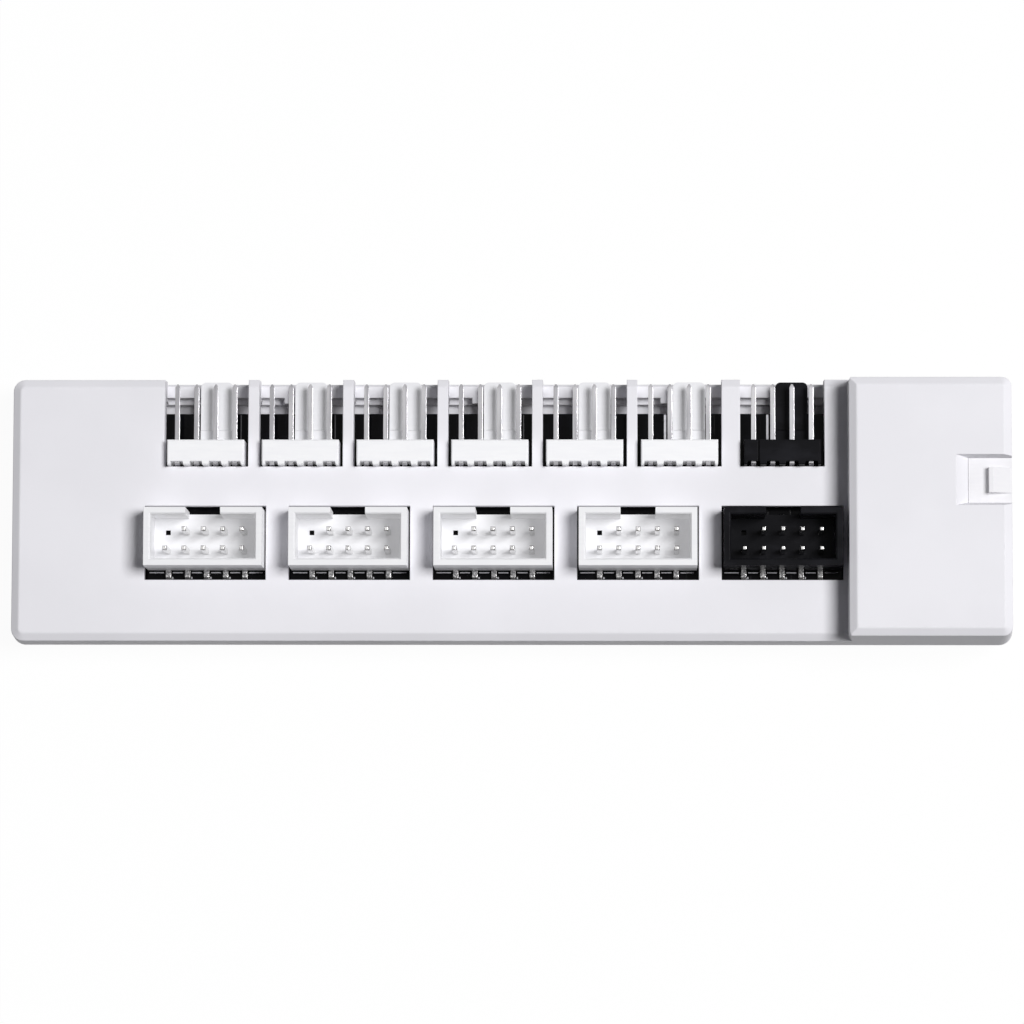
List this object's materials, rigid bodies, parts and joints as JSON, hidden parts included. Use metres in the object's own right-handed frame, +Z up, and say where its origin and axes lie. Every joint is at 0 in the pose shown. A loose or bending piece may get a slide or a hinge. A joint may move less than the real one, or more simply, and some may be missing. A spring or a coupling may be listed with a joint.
{
  "type": "fan hub",
  "caption": "Low white case with a raised block at one end, right-angle fan headers in bays along one edge, keyed upright headers in windows and a power header at the end.",
  "frame": {"origin": "centre of the case's outline, on its flat underside", "axes": "+X along the case to the raised block, +Y across it to the fan headers, +Z up from the underside"},
  "size_m": [0.1328, 0.0352, 0.0142],
  "materials": {
    "case_plastic": "fine satin moulding, white",
    "white_header": "satin nylon, white",
    "black_header": "satin nylon, black",
    "board": "black solder mask over glass laminate",
    "pin_metal": "bright tin plating",
    "screw_steel": "zinc-plated steel",
    "can_aluminium": "bare aluminium can",
    "dark_parts": "matt black moulding",
    "fuse_body": "green laminate with tinned ends",
    "ceramic_parts": "tan ceramic with tinned ends"
  },
  "bodies": {
    "root": {"bottom_shell": "case_plastic", "top_cover": "case_plastic", "circuit_board": "board", "case_screws": "screw_steel", "fan_header_1": "white_header", "fan_header_2": "white_header", "fan_header_3": "white_header", "fan_header_4": "white_header", "fan_header_5": "white_header", "fan_header_6": "white_header", "fan_header_signal": "black_header", "fan_pins_1": "pin_metal", "fan_pins_2": "pin_metal", "fan_pins_3": "pin_metal", "fan_pins_4": "pin_metal", "fan_pins_5": "pin_metal", "fan_pins_6": "pin_metal", "fan_pins_signal": "pin_metal", "light_header_1": "white_header", "light_header_2": "white_header", "light_header_3": "white_header", "light_header_4": "white_header", "light_header_signal": "black_header", "light_pins_1": "pin_metal", "light_pins_2": "pin_metal", "light_pins_3": "pin_metal", "light_pins_4": "pin_metal", "light_pins_signal": "pin_metal", "power_header": "white_header", "power_pins": "pin_metal", "bulk_capacitor": "can_aluminium", "capacitor_base": "dark_parts", "resettable_fuses": "fuse_body", "fan_buffer_chip": "dark_parts", "light_buffer_chip": "dark_parts", "surge_diode": "dark_parts", "chip_capacitors": "ceramic_parts", "chip_resistors": "dark_parts"}
  },
  "joints": []
}
